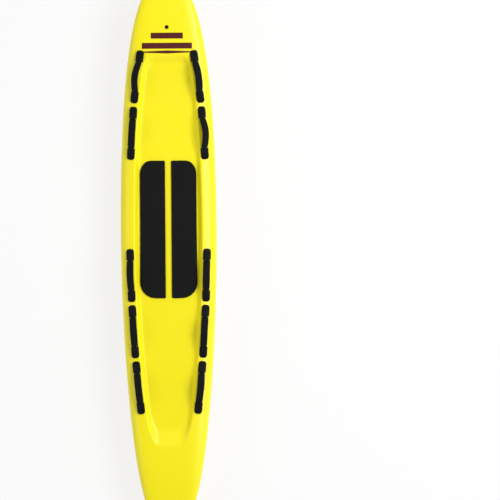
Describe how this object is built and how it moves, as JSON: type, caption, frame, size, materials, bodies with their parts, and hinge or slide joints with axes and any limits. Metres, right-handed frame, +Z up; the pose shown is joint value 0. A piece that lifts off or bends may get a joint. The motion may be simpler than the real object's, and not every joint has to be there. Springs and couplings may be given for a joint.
{
  "type": "rescue board",
  "caption": "Prone rescue paddle board with a recessed deck, padded strap handles along both rails, knee pads, a vent plug and a fin in a slot box.",
  "frame": {"origin": "on the flat of the bottom, at mid-length on the centreline", "axes": "+X towards the nose, +Y to port, +Z up through the deck"},
  "size_m": [3.2, 0.5594, 0.3636],
  "materials": {
    "foam": "matte",
    "stringer_wood": "satin",
    "deck_gelcoat": "gloss",
    "bottom_gelcoat": "gloss",
    "pad_foam": "matte",
    "black_plastic": "satin",
    "fin_plastic": "satin",
    "seal_rubber": "matte",
    "webbing": "matte",
    "sleeve": "matte",
    "steel": "satin"
  },
  "bodies": {
    "board": {"foam_core_left": "foam", "foam_core_right": "foam", "stringer": "stringer_wood", "deck_skin": "deck_gelcoat", "bottom_skin": "bottom_gelcoat", "knee_pad_left": "pad_foam", "knee_pad_right": "pad_foam", "vent_body": "black_plastic", "vent_seal": "seal_rubber", "fin_box": "black_plastic", "left_handle_1_front_anchor": "black_plastic", "left_handle_1_rear_anchor": "black_plastic", "right_handle_1_front_anchor": "black_plastic", "right_handle_1_rear_anchor": "black_plastic", "left_handle_2_front_anchor": "black_plastic", "left_handle_2_rear_anchor": "black_plastic", "right_handle_2_front_anchor": "black_plastic", "right_handle_2_rear_anchor": "black_plastic", "left_handle_3_front_anchor": "black_plastic", "left_handle_3_rear_anchor": "black_plastic", "right_handle_3_front_anchor": "black_plastic", "right_handle_3_rear_anchor": "black_plastic", "left_handle_4_front_anchor": "black_plastic", "left_handle_4_rear_anchor": "black_plastic", "right_handle_4_front_anchor": "black_plastic", "right_handle_4_rear_anchor": "black_plastic", "left_handle_5_front_anchor": "black_plastic", "left_handle_5_rear_anchor": "black_plastic", "right_handle_5_front_anchor": "black_plastic", "right_handle_5_rear_anchor": "black_plastic"},
    "vent_screw": {"vent_screw": "black_plastic"},
    "fin": {"fin": "fin_plastic", "fin_roll_pin": "steel", "fin_plate_nut": "steel"},
    "fin_screw": {"fin_screw": "steel"},
    "left_handle_1": {"left_handle_1_webbing": "webbing", "left_handle_1_grip": "sleeve"},
    "right_handle_1": {"right_handle_1_webbing": "webbing", "right_handle_1_grip": "sleeve"},
    "left_handle_2": {"left_handle_2_webbing": "webbing", "left_handle_2_grip": "sleeve"},
    "right_handle_2": {"right_handle_2_webbing": "webbing", "right_handle_2_grip": "sleeve"},
    "left_handle_3": {"left_handle_3_webbing": "webbing", "left_handle_3_grip": "sleeve"},
    "right_handle_3": {"right_handle_3_webbing": "webbing", "right_handle_3_grip": "sleeve"},
    "left_handle_4": {"left_handle_4_webbing": "webbing", "left_handle_4_grip": "sleeve"},
    "right_handle_4": {"right_handle_4_webbing": "webbing", "right_handle_4_grip": "sleeve"},
    "left_handle_5": {"left_handle_5_webbing": "webbing", "left_handle_5_grip": "sleeve"},
    "right_handle_5": {"right_handle_5_webbing": "webbing", "right_handle_5_grip": "sleeve"}
  },
  "joints": [
    {"name": "left_handle_1_swing", "type": "hinge", "parent": "board", "child": "left_handle_1", "pos_m": [1.04142, 0.17406, 0.18733], "axis": [-0.9872, 0.1371, -0.0818], "range_deg": [-63.6, 16.4], "stiffness_Nm_per_rad": 0.1, "deforming": ["left_handle_1_webbing"]},
    {"name": "right_handle_1_swing", "type": "hinge", "parent": "board", "child": "right_handle_1", "pos_m": [1.04142, -0.17406, 0.18733], "axis": [0.9872, 0.1371, 0.0818], "range_deg": [-54.5, 25.5], "stiffness_Nm_per_rad": 0.1, "deforming": ["right_handle_1_webbing"]},
    {"name": "left_handle_2_swing", "type": "hinge", "parent": "board", "child": "left_handle_2", "pos_m": [0.71606, 0.20669, 0.16645], "axis": [-0.9969, 0.0653, -0.0438], "range_deg": [-40, 40], "stiffness_Nm_per_rad": 0.1, "deforming": ["left_handle_2_webbing"]},
    {"name": "right_handle_2_swing", "type": "hinge", "parent": "board", "child": "right_handle_2", "pos_m": [0.71606, -0.20669, 0.16645], "axis": [0.9969, 0.0653, 0.0438], "range_deg": [-66.7, 13.3], "stiffness_Nm_per_rad": 0.1, "deforming": ["right_handle_2_webbing"]},
    {"name": "left_handle_3_swing", "type": "hinge", "parent": "board", "child": "left_handle_3", "pos_m": [-0.10789, 0.21952, 0.16004], "axis": [-0.9996, -0.0288, 0.0015], "range_deg": [-45.7, 34.3], "stiffness_Nm_per_rad": 0.1, "deforming": ["left_handle_3_webbing"]},
    {"name": "right_handle_3_swing", "type": "hinge", "parent": "board", "child": "right_handle_3", "pos_m": [-0.10789, -0.21952, 0.16004], "axis": [0.9996, -0.0288, -0.0015], "range_deg": [-40, 40], "stiffness_Nm_per_rad": 0.1, "deforming": ["right_handle_3_webbing"]},
    {"name": "left_handle_4_swing", "type": "hinge", "parent": "board", "child": "left_handle_4", "pos_m": [-0.43401, 0.20489, 0.1595], "axis": [-0.9981, -0.0609, -0.0054], "range_deg": [-40, 40], "stiffness_Nm_per_rad": 0.1, "deforming": ["left_handle_4_webbing"]},
    {"name": "right_handle_4_swing", "type": "hinge", "parent": "board", "child": "right_handle_4", "pos_m": [-0.43401, -0.20489, 0.1595], "axis": [0.9981, -0.0609, 0.0054], "range_deg": [-40, 40], "stiffness_Nm_per_rad": 0.1, "deforming": ["right_handle_4_webbing"]},
    {"name": "left_handle_5_swing", "type": "hinge", "parent": "board", "child": "left_handle_5", "pos_m": [-0.76, 0.17886, 0.15789], "axis": [-0.9951, -0.0992, -0.005], "range_deg": [-40, 40], "stiffness_Nm_per_rad": 0.1, "deforming": ["left_handle_5_webbing"]},
    {"name": "right_handle_5_swing", "type": "hinge", "parent": "board", "child": "right_handle_5", "pos_m": [-0.76, -0.17886, 0.15789], "axis": [0.9951, -0.0992, 0.005], "range_deg": [-45.7, 34.3], "stiffness_Nm_per_rad": 0.1, "deforming": ["right_handle_5_webbing"]},
    {"name": "fin_slide", "type": "slide", "parent": "board", "child": "fin", "axis": [0.9998, 0, -0.0215], "range_m": [0, 0.084]},
    {"name": "fin_screw_turn", "type": "hinge", "parent": "fin", "child": "fin_screw", "pos_m": [-0.64605, 0, 0.00167], "axis": [0.0215, 0, 0.9998], "range_deg": [0, 720]},
    {"name": "vent_screw_turn", "type": "hinge", "parent": "board", "child": "vent_screw", "pos_m": [1.328, 0, 0.19567], "axis": [-0.0726, 0, 0.9974], "range_deg": [0, 720]}
  ]
}
